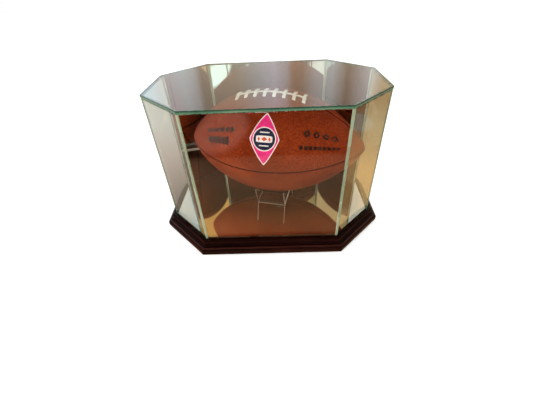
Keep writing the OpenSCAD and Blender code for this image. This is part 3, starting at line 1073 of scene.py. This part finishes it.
# The back wall's tones go from its left to its right, as curtains, woodwork and windows would.
wall = room.add("SeparateXYZ", {0: towards}).node.outputs
bearing = room.calc("ADD", room.calc("DIVIDE", wall[0], wall[1]), 0.5)
back_wall = room.tones(bearing,
                       (0.08, (0.9, 1.08, 1.22, 1)), (0.13, (0.88, 0.86, 0.86, 1)),
                       (0.2, (0.95, 1.02, 1.02, 1)), (0.24, (0.82, 0.81, 0.77, 1)),
                       (0.26, (0.59, 0.5, 0.38, 1)), (0.37, (0.68, 0.57, 0.42, 1)),
                       (0.44, (0.73, 0.74, 0.7, 1)), (0.5, (0.92, 0.88, 0.92, 1)),
                       (0.54, (0.76, 0.68, 0.65, 1)), (0.56, (0.61, 0.42, 0.29, 1)),
                       (0.59, (0.58, 0.43, 0.3, 1)), (0.64, (0.77, 0.74, 0.7, 1)),
                       (0.69, (0.86, 0.85, 0.8, 1)), (0.74, (0.49, 0.39, 0.28, 1)),
                       (0.78, (0.74, 0.68, 0.61, 1)), (0.82, (1, 1, 0.98, 1)),
                       (0.86, (0.7, 0.54, 0.36, 1)), (0.9, (0.72, 0.64, 0.42, 1)))
walls = (0.25, 0.22, 0.19, 1)
for fade, tone in ((lobe(180, 40, 45, 70), (0.08, 0.035, 0.016, 1)),
                   (lobe(168, 42, 5, 10), (0.4, 0.24, 0.09, 1)),
                   (lobe(-102, 44, 12, 22), (0.73, 0.455, 0.233, 1)),
                   (lobe(108, 48, 12, 20), (0.93, 0.435, 0.13, 1)),
                   (lobe(0, 15, 35, 60), back_wall),
                   (lobe(-22, 40, 10, 16), (1.24, 1.29, 1.3, 1)),
                   (lobe(22, 40, 10, 16), (1.18, 1.08, 0.98, 1))):
    walls = room.mix(fade, walls, tone)
room_ray = world.node_tree.nodes.new("ShaderNodeLightPath").outputs
lighting = room.calc("GREATER_THAN", room_ray["Diffuse Depth"], 0.5)
overcast = room.mix(room.spread(wall[2], 0.4, 0.7, 0, 1), (2.8, 2.75, 2.65, 1), (0.55, 0.55, 0.55, 1))
light = room.mix(lighting, walls, overcast)
light = room.mix(room_ray["Is Camera Ray"], light, (1, 1, 1, 1))
room.feed(world.node_tree.nodes["Background"].inputs["Color"], light)


# ---------------------------------------------------------------- Lamps
# Four soft square lamps on stands, one low at the left, one at the front and two overhead. The glass and
# the mirrors don't show them.

lamp_size = 0.8
lamp_aim = Vector((0, 0, 0.12))


def lamp(name, place, power, tone):
    """A soft lamp of a power in watts that faces the case."""
    data = bpy.data.lights.new(name, "AREA")
    data.size = lamp_size
    data.energy = power
    data.color = tone
    made = bpy.data.objects.new(name, data)
    scene.collection.objects.link(made)
    made.location = place
    made.rotation_euler = (lamp_aim - Vector(place)).to_track_quat("-Z", "Y").to_euler()
    made.visible_glossy = False
    made.visible_transmission = False


lamp("lamp_left", (-1.2, -0.8, 0.35), 12, (1, 0.97, 0.95))
lamp("lamp_over_right", (0.9, -0.3, 1.2), 1, (1, 0.95, 0.88))
lamp("lamp_over_back", (0, 0.8, 1.3), 2, (0.97, 0.98, 1))
lamp("lamp_front", (-0.2, -1.5, 0.2), 5.6, (1, 0.97, 0.94))


# ---------------------------------------------------------------- Camera
# A small camera with a wide lens, held close above the front edge of the case and tilted down into it,
# a little off level.

camera_place = (0.0116, -0.4229, 0.342)
yaw = math.radians(-1.51)
pitch = math.radians(-38.8)
tilt = math.radians(-2.55)

camera_data = bpy.data.cameras.new("camera")
camera_data.sensor_width = 36
camera_data.lens = 19.156
camera_data.clip_start = 0.01
camera = bpy.data.objects.new("camera", camera_data)
scene.collection.objects.link(camera)
camera.matrix_world = (Matrix.Translation(camera_place) @ Matrix.Rotation(-yaw, 4, "Z")
                       @ Matrix.Rotation(math.radians(90) + pitch, 4, "X") @ Matrix.Rotation(tilt, 4, "Z"))
scene.camera = camera
